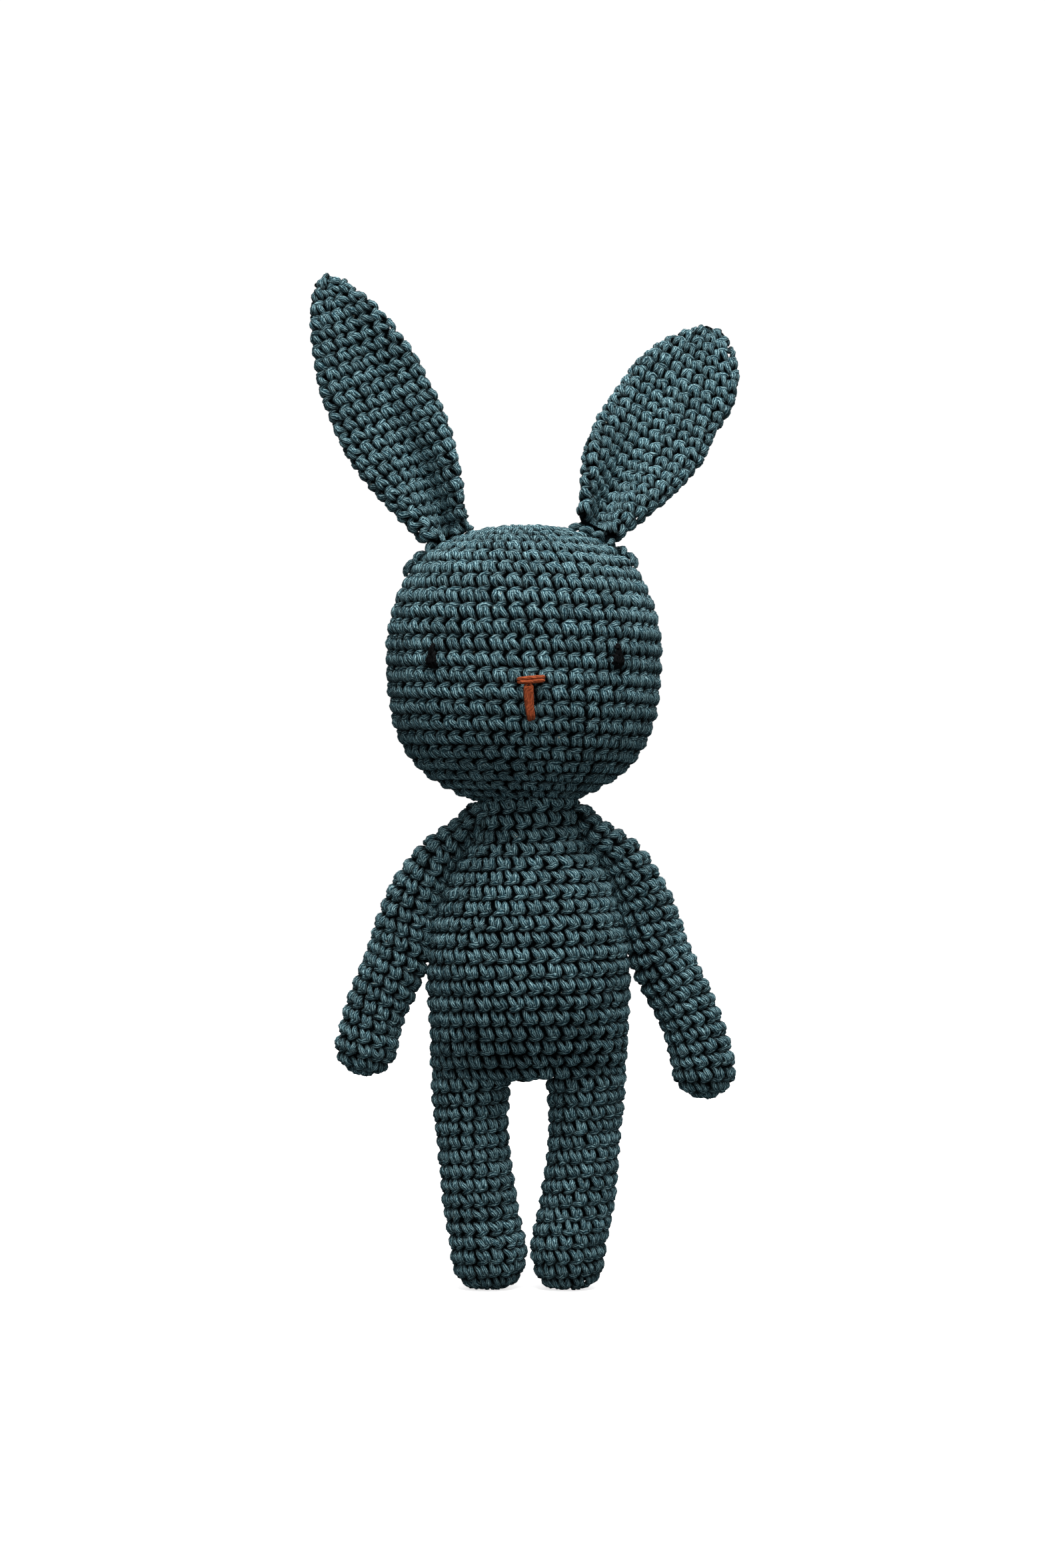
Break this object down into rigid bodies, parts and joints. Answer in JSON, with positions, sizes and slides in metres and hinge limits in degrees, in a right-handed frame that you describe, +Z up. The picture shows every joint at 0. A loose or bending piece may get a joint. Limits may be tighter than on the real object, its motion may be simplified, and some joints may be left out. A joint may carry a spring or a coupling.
{
  "type": "stuffed crocheted rabbit",
  "caption": "Stuffed crocheted rabbit doll in grey yarn, with a large round head, long ears, hanging arms and short legs, jointed at neck, shoulders, hips and ears.",
  "frame": {"origin": "on the floor under the middle of the standing rabbit, midway between its outermost ear and hand", "axes": "+Z up, face towards -Y, the rabbit's own left is +X"},
  "size_m": [0.1274, 0.0785, 0.3033],
  "materials": {
    "grey_yarn": "matt plied cotton yarn, worked in single crochet, slate grey with a green-blue cast",
    "fibre_fill": "loose fibre filling",
    "black_yarn": "matt black embroidery yarn",
    "rust_yarn": "matt rust-coloured embroidery yarn"
  },
  "bodies": {
    "torso": {"body_cover": "grey_yarn", "body_stuffing": "fibre_fill", "arm_left_seam": "grey_yarn", "arm_right_seam": "grey_yarn"},
    "neck": {"neck_seam": "grey_yarn"},
    "head": {"head_cover": "grey_yarn", "head_stuffing": "fibre_fill", "eye_left": "black_yarn", "eye_right": "black_yarn", "nose_bar": "rust_yarn", "nose_stem": "rust_yarn", "ear_left_seam": "grey_yarn", "ear_right_seam": "grey_yarn"},
    "left_arm": {"arm_left_cover": "grey_yarn", "arm_left_stuffing": "fibre_fill"},
    "right_arm": {"arm_right_cover": "grey_yarn", "arm_right_stuffing": "fibre_fill"},
    "left_leg": {"leg_left_cover": "grey_yarn", "leg_left_stuffing": "fibre_fill"},
    "right_leg": {"leg_right_cover": "grey_yarn", "leg_right_stuffing": "fibre_fill"},
    "left_ear": {"ear_left": "grey_yarn"},
    "right_ear": {"ear_right": "grey_yarn"}
  },
  "joints": [
    {"name": "neck_turn", "type": "hinge", "parent": "torso", "child": "neck", "pos_m": [0.0016, 0, 0.146], "axis": [0, 0, 1], "range_deg": [-45, 45], "stiffness_Nm_per_rad": 0.06},
    {"name": "neck_nod", "type": "hinge", "parent": "neck", "child": "head", "pos_m": [0.0016, 0, 0.146], "axis": [1, 0, 0], "range_deg": [-15, 15], "stiffness_Nm_per_rad": 0.2},
    {"name": "left_shoulder_raise", "type": "hinge", "parent": "torso", "child": "left_arm", "pos_m": [0.0224, 0, 0.1378], "axis": [0, -1, 0], "range_deg": [0, 60], "stiffness_Nm_per_rad": 0.006},
    {"name": "right_shoulder_raise", "type": "hinge", "parent": "torso", "child": "right_arm", "pos_m": [-0.0184, 0, 0.1378], "axis": [0, 1, 0], "range_deg": [0, 60], "stiffness_Nm_per_rad": 0.006},
    {"name": "left_hip_swing", "type": "hinge", "parent": "torso", "child": "left_leg", "pos_m": [0.0192, 0, 0.066], "axis": [-1, 0, 0], "range_deg": [-20, 75], "stiffness_Nm_per_rad": 0.08},
    {"name": "right_hip_swing", "type": "hinge", "parent": "torso", "child": "right_leg", "pos_m": [-0.0152, 0, 0.066], "axis": [-1, 0, 0], "range_deg": [-20, 75], "stiffness_Nm_per_rad": 0.08},
    {"name": "left_ear_flop", "type": "hinge", "parent": "head", "child": "left_ear", "pos_m": [0.02472, 0, 0.229], "axis": [0.887, 0, -0.4618], "range_deg": [-35, 84], "stiffness_Nm_per_rad": 0.02},
    {"name": "right_ear_flop", "type": "hinge", "parent": "head", "child": "right_ear", "pos_m": [-0.0253, 0, 0.22812], "axis": [0.9107, 0, 0.4131], "range_deg": [-60, 60], "stiffness_Nm_per_rad": 0.02}
  ]
}
